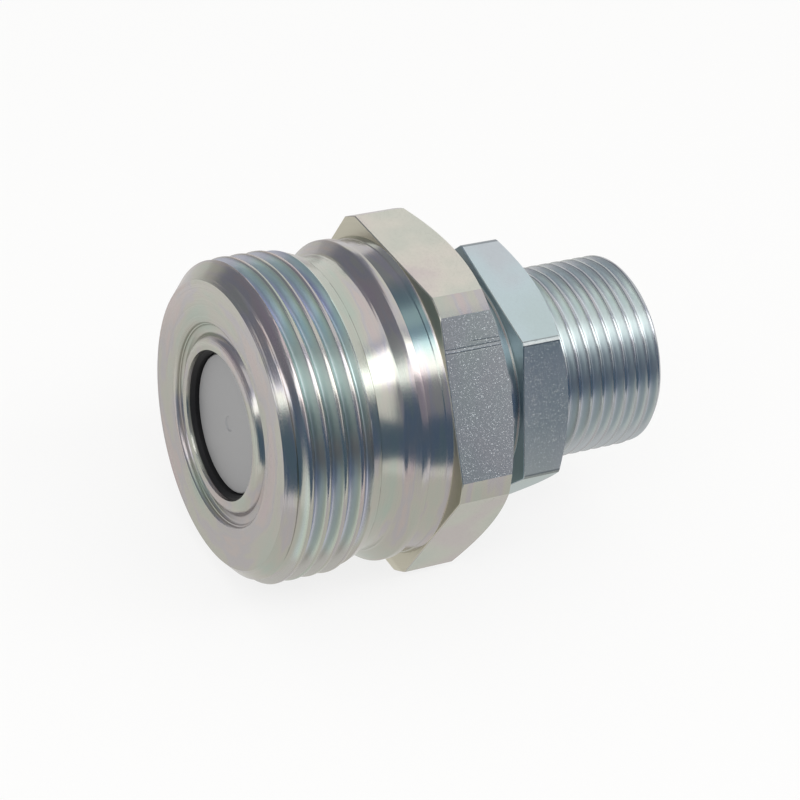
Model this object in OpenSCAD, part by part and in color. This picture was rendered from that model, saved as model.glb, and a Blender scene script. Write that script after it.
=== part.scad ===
// Male half of a screw-together hydraulic brake line coupling.
// The axis runs along +X from the flat front face at x = 0 to the pipe port at the rear.
// The part lies on one flat of the large hexagon, with -Z pointing down.

/* [Coupling thread] */
// Outside diameter of the coupling thread
coupling_thread_d = 36; // [34:0.5:37]
// Pitch of the coupling thread
coupling_thread_pitch = 2; // [1.5:0.25:2.5]
// Length of the coupling thread from the front face to the cone where it runs out
coupling_thread_length = 8.8; // [8:0.2:12]
// Angle about the axis at which the coupling thread starts
coupling_thread_turn = 211.7; // [0:0.1:360]
// Size of the 45 degree chamfer at the front of the coupling thread
front_chamfer = 2; // [1.4:0.1:3]

/* [Front face] */
// Gap between the valve head and the metal lip of the mouth
mouth_gap = 0.5; // [0.3:0.05:0.8]
// Width of the wall between the mouth seal and the groove in the front face
land_wall = 0.7; // [0.5:0.05:1]
// Width of the rounded groove in the front face
face_groove_width = 1.55; // [1.2:0.05:2]
// Depth of the rounded groove in the front face
face_groove_depth = 0.9; // [0.9:0.1:1.2]
// Radius of the rounded outer edge of the groove in the front face
groove_edge_round = 0.5; // [0.3:0.05:0.55]
// Length of the metal lip in front of the mouth seal
lip_length = 0.5; // [0.4:0.1:0.8]

/* [Relief and collar] */
// Length of the cone on which the coupling thread runs out
runout_length = 2.1; // [1.5:0.1:3]
// Depth of the run-out cone below the thread crest, at its rear end
runout_depth = 0.8; // [0.3:0.05:1.1]
// Length of the steeper cone that leads down into the relief
relief_entry_length = 1.2; // [0.6:0.1:2]
// Depth of the relief below the thread crest
relief_depth = 1.5; // [1.2:0.05:2.2]
// Length of the plain floor of the relief
relief_floor_length = 1.9; // [1:0.1:3]
// Length of the cone that rises from the relief to the collar
relief_rise_length = 1.5; // [1:0.1:3]
// Length of the plain collar
collar_length = 0.8; // [0.6:0.1:3]
// Length of the neck between collar and hexagon
neck_length = 2.9; // [2:0.1:4]
// Depth of the neck below the collar, at its front end
neck_depth = 1; // [0.85:0.05:1.2]
// How far the neck rises, as a cone, on its way to the hexagon
neck_rise = 0.65; // [0.3:0.05:0.7]
// Length of the short flare from the neck to the hexagon
neck_flare_length = 0.7; // [0.4:0.1:1.2]

/* [Large hexagon] */
// Width across the flats of the large hexagon
large_hex_af = 36; // [35:0.5:41]
// How far the corners of the large hexagon are turned down, on the radius
large_hex_corner_cut = 0.7; // [0.1:0.1:1.2]
// Length of the large hexagon
large_hex_length = 7.5; // [6:0.1:12]

/* [Small hexagon] */
// Width across the flats of the small hexagon
small_hex_af = 27; // [26.5:0.5:32]
// How far the corners of the small hexagon are turned down, on the radius
small_hex_corner_cut = 0.1; // [0.1:0.1:1]
// Length of the small hexagon
small_hex_length = 5.9; // [4:0.1:12]
// Turn of the small hexagon against the large one, from how the joint tightened
small_hex_turn = 14.4; // [0:0.1:60]
// Angle of the chamfer on the rear corners of both hexagons
hex_chamfer_angle = 30; // [20:1:40]
// Length of the shoulder between the two hexagons
shoulder_length = 3.7; // [1:0.1:8]
// Height of the shoulder above the joint thread
shoulder_height = 0.6; // [0.4:0.1:0.9]

/* [Port] */
// Outside diameter of the port thread
port_thread_d = 22; // [21.5:0.5:24]
// Pitch of the port thread
port_thread_pitch = 1.5; // [1:0.25:2]
// Length of the port thread
port_thread_length = 14; // [11:0.5:20]
// Angle about the axis at which the port thread starts
port_thread_turn = 105.6; // [0:0.1:360]
// Depth of the chamfer at the end of the port thread
port_chamfer = 0.6; // [0.2:0.1:1]
// Outside diameter of the steel pipe that the port takes
pipe_d = 15; // [14:0.5:15.5]
// Bore that the oil runs through
flow_bore_d = 12; // [8:0.5:13]
// Width of the sealing cone round the pipe at the rear face
cone_width = 1; // [0.5:0.1:1.2]
// Depth from the rear face to the stop for the pipe
pipe_stop_depth = 7; // [6.5:0.1:8.5]
// Included angle of the sealing cone
cone_angle = 24; // [24:1:30]

/* [Joint between body and adapter] */
// Width of the seat for the guide ring in the body
guide_seat_width = 0.85; // [0.6:0.05:1.2]
// Height of the joint thread above the pilot bore
joint_thread_height = 0.85; // [0.5:0.05:1]
// Length of the relief between the joint thread and the shoulder
joint_relief_length = 1.3; // [1:0.1:2]
// Length of the plain pilot on the adapter nose
pilot_length = 4.2; // [4:0.1:5]
// Wall of the adapter nose
nose_wall = 2.3; // [2:0.1:2.6]
// Distance from the end of the nose to the groove for the joint ring seal
joint_groove_setback = 1.1; // [0.8:0.1:1.4]
// Section of the joint ring seal
joint_ring_section = 1.3; // [1:0.1:1.4]
// Thickness of the joint support ring
joint_support_length = 0.6; // [0.4:0.1:0.7]

/* [Valve] */
// Diameter of the flat valve head
head_d = 15.6; // [15:0.1:16]
// Depth of the valve head below the front face
head_recess = 1.3; // [0.8:0.1:1.8]
// Depth of the shoulder that stops the flange, from the front face
valve_stop_depth = 6; // [5.8:0.1:7]
// Width of the ring on which the flange stops
stop_width = 0.9; // [0.6:0.1:1.2]
// Thickness of the flange
flange_length = 2; // [1.2:0.1:3]
// Gap between the valve head and the bore that its ring seal closes
valve_bore_gap = 0.6; // [0.5:0.05:0.8]
// Gap round the flange in the chamber
chamber_gap = 1; // [0.8:0.1:1.4]
// Diameter of the valve stem
stem_d = 5; // [4:0.1:6]
// Travel of the valve from closed to open
valve_travel = 5; // [3:0.5:6]
// Free length behind the flange when the valve is open
flange_spare = 1; // [0.4:0.1:1.5]
// Free length behind the stem when the valve is open
stem_spare = 2; // [1:0.5:2]
// Section of the ring seal on the valve
valve_ring_section = 1.5; // [1.2:0.1:1.6]

/* [Mouth seal] */
// Width of the mouth seal, on the radius
mouth_seal_width = 1.3; // [1.1:0.1:1.5]
// Length of the mouth seal
mouth_seal_length = 2.2; // [1.6:0.1:2.4]
// Thickness of the support ring behind the mouth seal
mouth_support_length = 0.7; // [0.4:0.1:0.8]

/* [Spring and guide] */
// Wire diameter of the valve spring
spring_wire = 1.3; // [1:0.1:1.5]
// Mean diameter of the valve spring
spring_mean_d = 10.8; // [10:0.1:11.2]
// Number of turns of the valve spring, closed end turns included
spring_turns = 6; // [5:0.5:6.5]
// Length of the valve spring with the valve closed
spring_length = 15; // [13:0.1:16]
// Gap between the spring and the guide ribs
spring_gap = 0.35; // [0.2:0.05:0.6]
// Length of the guide ring
guide_ring_length = 2.6; // [2:0.1:3]
// Number of ribs that carry the guide hub
guide_ribs = 3; // [3:1:5]
// Width of each guide rib
guide_rib_width = 2; // [1.4:0.1:2.6]
// Length of the guide hub along the stem
guide_hub_length = 3.4; // [2.4:0.1:4.4]
// Gap between the guide ribs and the adapter nose
nose_gap = 0.2; // [0.1:0.05:0.4]

/* [Clearances] */
// Clearance of a sliding part, on the radius
slide_clearance = 0.06; // [0.03:0.01:0.1]
// Clearance of a located or threaded part, on the radius
seat_clearance = 0.05; // [0.02:0.01:0.1]
// Clearance of a seal from the wall that it meets, on the radius
seal_clearance = 0.08; // [0.03:0.01:0.12]

/* [Hidden] */
$fn = 96;

// Form of a metric thread as shares of the pitch
CREST_SHARE = 0.125;
DEPTH_SHARE = 0.6134;
FLANK_SHARE = DEPTH_SHARE * tan(30);

// Facets of the parts that wind round the axis
COUPLING_FACETS = 48;
PORT_FACETS = 40;
SPRING_STEPS = 20;
WIRE_SIDES = 8;

// Broken edge of a turned or ground corner
EDGE = 0.2;
// Chamfer that leads a part into its bore
LEAD = 0.4;
// Depth to which a threaded sleeve or hexagon is bedded in its turned core
BED = 0.4;
// Step from a faceted sleeve down to the turned surface behind it
SLEEVE_STEP = 0.08;
// Play of a ring seal along its groove
GROOVE_PLAY = 0.2;
// Radius of a hexagon's plain rear face as a share of its flat radius
HEX_FACE_SHARE = 0.98;

// Radii of the valve and what surrounds it, each from the one inside it
head_r = head_d / 2;
stem_r = stem_d / 2;
mouth_r = head_r + mouth_gap;
mouth_seal_r = head_r + mouth_seal_width;
land_r = mouth_seal_r + land_wall;
face_groove_r = land_r + face_groove_width;
valve_bore_r = head_r + valve_bore_gap;
flange_r = valve_bore_r + stop_width;
chamber_r = flange_r + chamber_gap;
pilot_bore_r = chamber_r + guide_seat_width;
pilot_r = pilot_bore_r - seat_clearance;
nose_bore_r = pilot_r - nose_wall;
joint_r = pilot_bore_r + joint_thread_height;
shoulder_r = joint_r + shoulder_height;

// Radii of the outside
thread_r = coupling_thread_d / 2;
face_r = thread_r - front_chamfer;
runout_r = thread_r - runout_depth;
relief_r = thread_r - relief_depth;
neck_r = thread_r - neck_depth;
large_flat_r = large_hex_af / 2;
small_flat_r = small_hex_af / 2;
port_thread_r = port_thread_d / 2;

// Radii of the turned cores under the threads
coupling_core_r = face_r - LEAD;
port_core_r = port_thread_r - DEPTH_SHARE * port_thread_pitch - BED;

// Stations along the axis, from the front face
runout_end = coupling_thread_length + runout_length;
relief_start = runout_end + relief_entry_length;
relief_end = relief_start + relief_floor_length;
collar_start = relief_end + relief_rise_length;
collar_end = collar_start + collar_length;
large_hex_start = collar_end + neck_length;
body_end = large_hex_start + large_hex_length;
small_hex_start = body_end + shoulder_length;
small_hex_end = small_hex_start + small_hex_length;
total_length = small_hex_end + port_thread_length;

// Stations of the valve, its seals and its guide
mouth_seal_end = lip_length + mouth_seal_length;
mouth_support_end = mouth_seal_end + mouth_support_length;
flange_end = valve_stop_depth + flange_length;
guide_seat_depth = flange_end + valve_travel + flange_spare;
nose_start = guide_seat_depth + guide_ring_length;
pilot_end = nose_start + pilot_length;
joint_groove_start = nose_start + joint_groove_setback;
joint_support_end = joint_groove_start + joint_support_length;
spring_end = flange_end + spring_length;
hub_end = spring_end + guide_hub_length;
stem_end = hub_end + LEAD;

// Turns an upright part onto its side, so that its axis runs along +X
module lay() {
    rotate([0, 90, 0]) children();
}

// Revolved part from an outline of [radius, station] points
module turned(outline) {
    rotate_extrude() polygon(outline);
}

// Plain ring between two radii and two stations
module ring(inner_r, outer_r, start, end) {
    turned([[inner_r, start], [outer_r, start], [outer_r, end], [inner_r, end]]);
}

// Round ring seal of a given section, with its outer radius and its front given
module ring_seal(section, outer_r, start) {
    rotate_extrude()
        translate([outer_r - section / 2, start + section / 2]) circle(d = section, $fn = 32);
}

// Points of an arc in an outline, about a middle given as [radius, station]
function arc(middle, r, from, to) =
    [for (k = [0 : 5])
        let (a = from + (to - from) * k / 5)
        [middle[0] + r * cos(a), middle[1] + r * sin(a)]];

// Radius of a thread at a share u of its pitch, counted from the start of a crest
function thread_radius(u, r, pitch) =
    let (depth = DEPTH_SHARE * pitch, root_start = CREST_SHARE + FLANK_SHARE)
    u <= CREST_SHARE ? r :
    u < root_start ? r - depth * (u - CREST_SHARE) / FLANK_SHARE :
    u <= 1 - FLANK_SHARE ? r - depth :
    r - depth * (1 - u) / FLANK_SHARE;

// Shares of the pitch at which the thread's outline has its points
function thread_shares(flank_steps) = concat(
    [0],
    [for (k = [0 : flank_steps]) CREST_SHARE + FLANK_SHARE * k / flank_steps],
    [for (k = [0 : flank_steps - 1]) 1 - FLANK_SHARE + FLANK_SHARE * k / flank_steps]
);

// Right-hand threaded sleeve between two stations. A cone at each end leads from start_r or
// end_r to the full radius, and the groove runs out over the pitch before groove_end.
// Its outer points lie on columns round the axis, each one a step of the helix further along.
// Column 0 is longer by one turn, because the last column joins it a pitch further on.
module threaded_sleeve(r, pitch, start, end, bore_r, start_r, start_cone, end_r, end_cone,
        groove_end, facets, flank_steps) {
    shares = thread_shares(flank_steps);
    per_turn = len(shares);
    spare = 1.04;
    first = start - spare * pitch;
    rows = ceil(((end - start) / pitch + spare + 0.02) * per_turn);
    column_points = rows + per_turn + 1;
    inner_base = facets * column_points;
    // Station of row j in column i
    function station(i, j) =
        first + pitch * (i / facets + floor(j / per_turn) + shares[j % per_turn]);
    function limit(s) = min(
        start_r + (r - start_r) * max(s - start, 0) / start_cone,
        end_r + (r - end_r) * max(end - s, 0) / end_cone
    );
    function groove_share(s) = min(max((groove_end - s) / pitch, 0), 1);
    function outer_point(i, j) =
        let (s = station(i, j), angle = 360 * i / facets,
             depth = r - thread_radius(shares[j % per_turn], r, pitch),
             rr = min(r - depth * groove_share(s), limit(s)))
        [rr * cos(angle), rr * sin(angle), s];
    function inner_point(i, j) =
        let (angle = 360 * i / facets)
        [bore_r * cos(angle), bore_r * sin(angle), station(i, j)];
    points = concat(
        [for (i = [0 : facets - 1]) for (j = [0 : column_points - 1]) outer_point(i, j)],
        [for (i = [0 : facets - 1]) for (j = [0, rows]) inner_point(i, j)],
        [for (j = [per_turn, rows + per_turn]) inner_point(0, j)]
    );
    function outer(i, j) = i < facets ? i * column_points + j : j + per_turn;
    function inner_front(i) = inner_base + 2 * i;
    function inner_rear(i) = inner_base + 2 * i + 1;
    outer_faces = [for (i = [0 : facets - 1]) for (j = [0 : rows - 1])
        each [[outer(i, j), outer(i, j + 1), outer(i + 1, j + 1)],
              [outer(i, j), outer(i + 1, j + 1), outer(i + 1, j)]]];
    front_faces = [for (i = [0 : facets - 1])
        each [[outer(i, 0), outer(i + 1, 0), inner_front(i + 1)],
              [outer(i, 0), inner_front(i + 1), inner_front(i)]]];
    rear_faces = [for (i = [0 : facets - 1])
        each [[outer(i, rows), inner_rear(i + 1), outer(i + 1, rows)],
              [outer(i, rows), inner_rear(i), inner_rear(i + 1)]]];
    inner_faces = [for (i = [1 : facets - 2])
        each [[inner_front(i), inner_rear(i + 1), inner_rear(i)],
              [inner_front(i), inner_front(i + 1), inner_rear(i + 1)]]];
    last = facets - 1;
    seam_faces = [
        [inner_rear(1), inner_rear(0), inner_front(facets)],
        [inner_rear(1), inner_front(facets), inner_front(0)],
        [inner_rear(1), inner_front(0), inner_front(1)],
        [inner_front(last), inner_front(facets), inner_rear(0)],
        [inner_front(last), inner_rear(0), inner_rear(facets)],
        [inner_front(last), inner_rear(facets), inner_rear(last)]
    ];
    front_step = concat(
        [[inner_front(0), inner_front(facets), per_turn]],
        [for (j = [0 : per_turn - 1]) [inner_front(0), j + 1, j]]
    );
    rear_step = concat(
        [[inner_rear(0), rows + per_turn, inner_rear(facets)]],
        [for (j = [rows : rows + per_turn - 1]) [inner_rear(0), j, j + 1]]
    );
    intersection() {
        polyhedron(points, concat(outer_faces, front_faces, rear_faces, inner_faces,
            seam_faces, front_step, rear_step));
        translate([0, 0, start]) cylinder(r = 1.5 * r, h = end - start);
    }
}

// Hexagonal sleeve with its corners turned down, and its rear corners chamfered
module hex_sleeve(flat_r, corner_cut, bore_r, start, end) {
    corner_r = flat_r / cos(30) - corner_cut;
    face_edge_r = HEX_FACE_SHARE * flat_r;
    chamfer_length = (corner_r - face_edge_r) * tan(hex_chamfer_angle);
    difference() {
        intersection() {
            translate([0, 0, start])
                cylinder(r = flat_r / cos(30), h = end - start, $fn = 6);
            turned([
                [0, start], [corner_r, start], [corner_r, end - chamfer_length],
                [face_edge_r, end], [0, end]
            ]);
        }
        translate([0, 0, start - 1]) cylinder(r = bore_r, h = end - start + 2);
    }
}

// Outline of the rounded land and groove in the front face, from the mouth outwards
function face_outline() =
    let (land_round = 0.5, floor_round = 0.35, wall_lean = 0.25,
         floor_middle = face_groove_depth - floor_round)
    concat(
        [[mouth_r, EDGE], [mouth_r + EDGE, 0]],
        arc([land_r - land_round, land_round], land_round, -90, 0),
        arc([land_r + floor_round, floor_middle], floor_round, 180, 90),
        arc([face_groove_r - wall_lean - floor_round, floor_middle], floor_round, 90, 0),
        arc([face_groove_r - wall_lean / 2 + groove_edge_round, groove_edge_round],
            groove_edge_round, 180, 270)
    );

module coupling_body() {
    bed_r = large_flat_r - 1;
    foot_r = min(thread_r, large_flat_r) - EDGE / 2;
    relief_fillet = LEAD;
    color("lightsteelblue") lay() union() {
        turned(concat(
            face_outline(),
            [
                [coupling_core_r, 0], [coupling_core_r, runout_end],
                [runout_r - SLEEVE_STEP, runout_end],
                [relief_r, relief_start], [relief_r, relief_end],
                [relief_r + relief_fillet / 2, relief_end + relief_fillet],
                [thread_r, collar_start], [thread_r, collar_end - EDGE],
                [thread_r - EDGE, collar_end], [neck_r, collar_end + EDGE],
                [neck_r + neck_rise, large_hex_start - neck_flare_length],
                [foot_r, large_hex_start], [bed_r, large_hex_start],
                [bed_r, body_end], [joint_r + EDGE, body_end], [joint_r, body_end - EDGE],
                [joint_r, pilot_end], [pilot_bore_r, pilot_end],
                [pilot_bore_r, guide_seat_depth], [chamber_r, guide_seat_depth],
                [chamber_r, valve_stop_depth], [valve_bore_r, valve_stop_depth],
                [valve_bore_r, mouth_support_end], [mouth_seal_r, mouth_support_end],
                [mouth_seal_r, lip_length], [mouth_r, lip_length]
            ]
        ));
        rotate([0, 0, coupling_thread_turn])
            threaded_sleeve(thread_r, coupling_thread_pitch, 0, runout_end, coupling_core_r - BED,
                face_r, front_chamfer, runout_r, runout_length, runout_end, COUPLING_FACETS, 2);
        rotate([0, 0, 30])
            hex_sleeve(large_flat_r, large_hex_corner_cut, bed_r - BED, large_hex_start, body_end);
    }
}

module port_adapter() {
    groove_end = joint_support_end + joint_ring_section + GROOVE_PLAY;
    groove_r = pilot_bore_r - joint_ring_section - seal_clearance;
    male_r = joint_r - seat_clearance;
    thread_end = body_end - joint_relief_length;
    nose_bore_end = stem_end + valve_travel + stem_spare;
    flow_r = flow_bore_d / 2;
    pipe_r = pipe_d / 2;
    cone_r = pipe_r + cone_width;
    cone_length = cone_width / tan(cone_angle / 2);
    pipe_stop = total_length - pipe_stop_depth;
    color("silver") lay() union() {
        turned([
            [nose_bore_r, nose_start], [pilot_r - LEAD, nose_start], [pilot_r, nose_start + LEAD],
            [pilot_r, joint_groove_start], [groove_r, joint_groove_start],
            [groove_r, groove_end], [pilot_r, groove_end],
            [pilot_r, pilot_end + EDGE], [male_r, pilot_end + EDGE + joint_thread_height],
            [male_r, thread_end], [pilot_r, thread_end + LEAD],
            [pilot_r, body_end], [shoulder_r, body_end],
            [shoulder_r, small_hex_start], [port_core_r, small_hex_end],
            [port_core_r, total_length], [cone_r, total_length],
            [pipe_r, total_length - cone_length], [pipe_r, pipe_stop],
            [flow_r, pipe_stop], [flow_r, nose_bore_end + (nose_bore_r - flow_r)],
            [nose_bore_r, nose_bore_end]
        ]);
        rotate([0, 0, 30 + small_hex_turn])
            hex_sleeve(small_flat_r, small_hex_corner_cut, port_core_r - BED,
                small_hex_start, small_hex_end);
        rotate([0, 0, port_thread_turn])
            threaded_sleeve(port_thread_r, port_thread_pitch, small_hex_end, total_length,
                port_core_r - BED, port_thread_r, 1, port_thread_r - port_chamfer, port_chamfer,
                total_length + 2 * port_thread_pitch, PORT_FACETS, 1);
    }
}

module valve_poppet() {
    groove_start = valve_stop_depth - valve_ring_section - GROOVE_PLAY;
    groove_r = valve_bore_r - seal_clearance - valve_ring_section;
    color("darkgray") lay() turned([
        [0, head_recess], [head_r - EDGE, head_recess], [head_r, head_recess + EDGE],
        [head_r, groove_start], [groove_r, groove_start], [groove_r, valve_stop_depth],
        [flange_r, valve_stop_depth], [flange_r, flange_end - LEAD], [flange_r - LEAD, flange_end],
        [stem_r + LEAD, flange_end], [stem_r, flange_end + LEAD],
        [stem_r, stem_end - LEAD], [stem_r - LEAD, stem_end], [0, stem_end]
    ]);
}

// Rubber ring at the mouth, with a small lip that wipes the valve head
module mouth_seal() {
    inner_r = head_r + slide_clearance;
    outer_r = mouth_seal_r - seat_clearance;
    color("black") lay() turned([
        [inner_r + EDGE, lip_length], [outer_r, lip_length], [outer_r, mouth_seal_end],
        [inner_r, mouth_seal_end], [inner_r, lip_length + LEAD]
    ]);
}

module mouth_support_ring() {
    color("white") lay()
        ring(head_r + slide_clearance, mouth_seal_r - seat_clearance,
            mouth_seal_end, mouth_support_end);
}

module valve_ring_seal() {
    color("black") lay()
        ring_seal(valve_ring_section, valve_bore_r - seal_clearance,
            valve_stop_depth - valve_ring_section - GROOVE_PLAY / 2);
}

module joint_ring_seal() {
    color("black") lay()
        ring_seal(joint_ring_section, pilot_bore_r - seal_clearance,
            joint_support_end + GROOVE_PLAY / 2);
}

module joint_support_ring() {
    color("white") lay()
        ring(pilot_bore_r - joint_ring_section, pilot_bore_r - seal_clearance,
            joint_groove_start, joint_support_end);
}

// Round wire wound on a helix, with one closed turn at each end
module valve_spring() {
    wire_r = spring_wire / 2;
    mean_r = spring_mean_d / 2;
    steps = spring_turns * SPRING_STEPS;
    end_gap = 0.01;
    climb = spring_length - spring_wire - 2 * end_gap;
    end_climb = 1.03 * spring_wire;
    // Height of the wire's middle after t turns
    function height(t) =
        t < 1 ? end_climb * t :
        t > spring_turns - 1 ? climb - end_climb * (spring_turns - t) :
        end_climb + (climb - 2 * end_climb) * (t - 1) / (spring_turns - 2);
    function wire_point(k, m) =
        let (t = k / SPRING_STEPS, a = 360 * t, b = 360 * m / WIRE_SIDES,
             rr = mean_r + wire_r * cos(b))
        [rr * cos(a), rr * sin(a), height(t) + wire_r * sin(b)];
    points = [for (k = [0 : steps]) for (m = [0 : WIRE_SIDES - 1]) wire_point(k, m)];
    side_faces = [for (k = [0 : steps - 1]) for (m = [0 : WIRE_SIDES - 1])
        let (n = (m + 1) % WIRE_SIDES, p = k * WIRE_SIDES, q = p + WIRE_SIDES)
        each [[p + m, p + n, q + n], [p + m, q + n, q + m]]];
    start_face = [[for (m = [WIRE_SIDES - 1 : -1 : 0]) m]];
    end_face = [[for (m = [0 : WIRE_SIDES - 1]) steps * WIRE_SIDES + m]];
    color("gray") lay() translate([0, 0, flange_end + wire_r + end_gap])
        polyhedron(points, concat(side_faces, start_face, end_face));
}

// Ring held between body and adapter, with ribs back to a hub for stem and spring
module valve_guide() {
    rib_r = nose_bore_r - nose_gap;
    ring_inner_r = rib_r - BED;
    rib_inner_r = (spring_mean_d + spring_wire) / 2 + spring_gap;
    hub_r = rib_inner_r + EDGE;
    disc_length = guide_hub_length * 0.4;
    disc_end = spring_end + disc_length;
    boss_r = stem_r + 2;
    color("goldenrod") lay() difference() {
        union() {
            ring(ring_inner_r, pilot_r, guide_seat_depth, nose_start);
            intersection() {
                ring(rib_inner_r, rib_r, guide_seat_depth, disc_end);
                for (k = [0 : guide_ribs - 1])
                    rotate([0, 0, 360 * k / guide_ribs])
                        translate([0, -guide_rib_width / 2, guide_seat_depth])
                            cube([rib_r + 1, guide_rib_width, disc_end - guide_seat_depth]);
            }
            turned([
                [0, spring_end], [hub_r, spring_end], [hub_r, disc_end],
                [boss_r, disc_end], [boss_r - LEAD, hub_end], [0, hub_end]
            ]);
        }
        translate([0, 0, spring_end - 1])
            cylinder(r = stem_r + slide_clearance, h = guide_hub_length + 2);
    }
}

coupling_body();
port_adapter();
valve_poppet();
mouth_seal();
mouth_support_ring();
valve_ring_seal();
valve_spring();
valve_guide();
joint_ring_seal();
joint_support_ring();
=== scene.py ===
from math import atan2, ceil, cos, degrees, hypot, pi, radians, sin, tan

import bmesh
import bpy
from mathutils import Matrix, Vector


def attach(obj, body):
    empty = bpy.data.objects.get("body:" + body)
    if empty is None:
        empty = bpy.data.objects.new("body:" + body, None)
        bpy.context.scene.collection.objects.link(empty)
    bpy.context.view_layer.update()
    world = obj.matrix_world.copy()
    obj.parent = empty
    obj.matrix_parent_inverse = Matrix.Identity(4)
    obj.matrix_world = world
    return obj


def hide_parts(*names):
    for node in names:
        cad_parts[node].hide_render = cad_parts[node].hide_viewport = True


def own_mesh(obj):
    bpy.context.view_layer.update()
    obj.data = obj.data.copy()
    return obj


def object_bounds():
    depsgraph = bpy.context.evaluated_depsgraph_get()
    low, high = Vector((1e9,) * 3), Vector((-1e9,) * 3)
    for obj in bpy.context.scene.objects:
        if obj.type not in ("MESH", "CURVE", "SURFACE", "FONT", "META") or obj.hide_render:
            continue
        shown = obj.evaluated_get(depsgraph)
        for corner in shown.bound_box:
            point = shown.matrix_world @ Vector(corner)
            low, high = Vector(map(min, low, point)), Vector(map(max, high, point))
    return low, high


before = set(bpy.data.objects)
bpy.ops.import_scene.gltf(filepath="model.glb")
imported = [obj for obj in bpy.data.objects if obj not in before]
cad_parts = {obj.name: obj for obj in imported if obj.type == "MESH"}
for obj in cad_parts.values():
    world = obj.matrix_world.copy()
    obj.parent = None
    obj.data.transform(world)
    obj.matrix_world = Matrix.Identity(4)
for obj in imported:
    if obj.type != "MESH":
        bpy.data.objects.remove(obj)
CAD_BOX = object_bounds()

bl_info = {
    "name": "Hydraulic coupling half",
    "version": (1, 0, 0),
    "blender": (4, 5, 0),
    "location": "3D View > Sidebar > Coupling",
    "description": "Builds the look of a screw-together hydraulic coupling half",
    "category": "Object",
}

MM = 0.001
COLUMNS = 240
SMOOTH_ANGLE = radians(27)
MERGE_GAP = 1e-6
HAIR = 1e-7
# Small edge breaks, the larger and the finer
EDGE = 0.2 * MM
FINE = 0.1 * MM


# Sizes and colours that a user would change

def length(name, description, default):
    """A length property in metres, from a default in millimetres."""
    return bpy.props.FloatProperty(
        name=name, description=description, default=default * MM, min=0, unit="LENGTH")


def plain(name, description, default):
    """A property that is a share or a count."""
    return bpy.props.FloatProperty(name=name, description=description, default=default, min=0)


def turn(name, description, default):
    """An angle property, from a default in degrees."""
    return bpy.props.FloatProperty(
        name=name, description=description, default=radians(default), unit="ROTATION")


def colour(name, description, default):
    """A colour property, from a default in the 0 to 255 of a colour picker."""
    return bpy.props.FloatVectorProperty(
        name=name, description=description, default=[linear(c / 255) for c in default],
        size=3, min=0, max=1, subtype="COLOR")


def linear(c):
    """Scene value of a colour picker's value."""
    return c / 12.92 if c <= 0.04045 else ((c + 0.055) / 1.055) ** 2.4


class CouplingBodySizes(bpy.types.PropertyGroup):
    thread_r: length("Thread radius", "Crest radius of the coupling thread", 18)
    pitch: length("Pitch", "Pitch of the coupling thread", 2)
    crest: length("First crest", "Station of a thread crest straight above the axis", 1.869)
    thread_length: length("Thread length", "Length of the full thread", 8.8)
    runout_length: length("Run-out", "Length of the cone on which the thread runs out", 2.1)
    runout_r: length("Run-out radius", "Radius at the rear end of the run-out cone", 17.2)
    relief_r: length("Relief radius", "Radius of the relief's floor", 16.5)
    collar_start: length("Collar start", "Where the collar starts", 15.5)
    collar_end: length("Collar end", "Where the collar ends", 16.3)
    neck_r: length("Neck radius", "Radius of the neck's front end, behind the collar", 17)
    neck_rise: length("Neck rise", "How far the neck rises as a cone", 0.65)
    hex_start: length("Hexagon start", "Station of the hexagon's front face", 19.2)
    hex_end: length("Hexagon end", "Station of the hexagon's rear face", 26.7)
    flat_r: length("Flat radius", "Half the width across the flats", 18)
    corner_r: length("Corner radius", "Radius that the corners are turned to", 20.085)
    face_r: length("Face radius", "Radius of the flat front face", 16)
    mouth_r: length("Mouth radius", "Radius of the metal lip round the valve", 8.3)
    land_r: length("Land radius", "Outside radius of the rounded land", 9.8)
    groove_r: length("Groove radius", "Outside radius of the groove in the front face", 11.35)
    groove_depth: length("Groove depth", "Depth of the groove in the front face", 0.9)
    joint_r: length("Joint radius", "Radius of the joint thread", 12)


class PortAdapterSizes(bpy.types.PropertyGroup):
    thread_r: length("Thread radius", "Crest radius of the port thread", 11)
    pitch: length("Pitch", "Pitch of the port thread", 1.5)
    crest: length("First crest", "Station of a thread crest straight above the axis", 1.146)
    hex_start: length("Hexagon start", "Station of the hexagon's front face", 30.4)
    hex_end: length("Hexagon end", "Station of the hexagon's rear face", 36.3)
    flat_r: length("Flat radius", "Half the width across the flats", 13.5)
    corner_r: length("Corner radius", "Radius that the corners are turned to", 15.488)
    hex_turn: turn("Hexagon turn", "Turn of the small hexagon against the large one", 14.4)
    shoulder_r: length("Shoulder radius", "Radius of the shoulder between the hexagons", 12.6)
    length: length("End", "Station of the rear end face", 50.3)
    pipe_r: length("Pipe radius", "Radius of the pipe bore", 7.5)
    cone_r: length("Cone radius", "Mouth radius of the sealing cone", 8.5)
    flow_r: length("Flow radius", "Radius of the bore that the oil runs through", 6)
    nose_bore_r: length("Nose bore radius", "Bore of the nose round the valve guide", 8.8)


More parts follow.
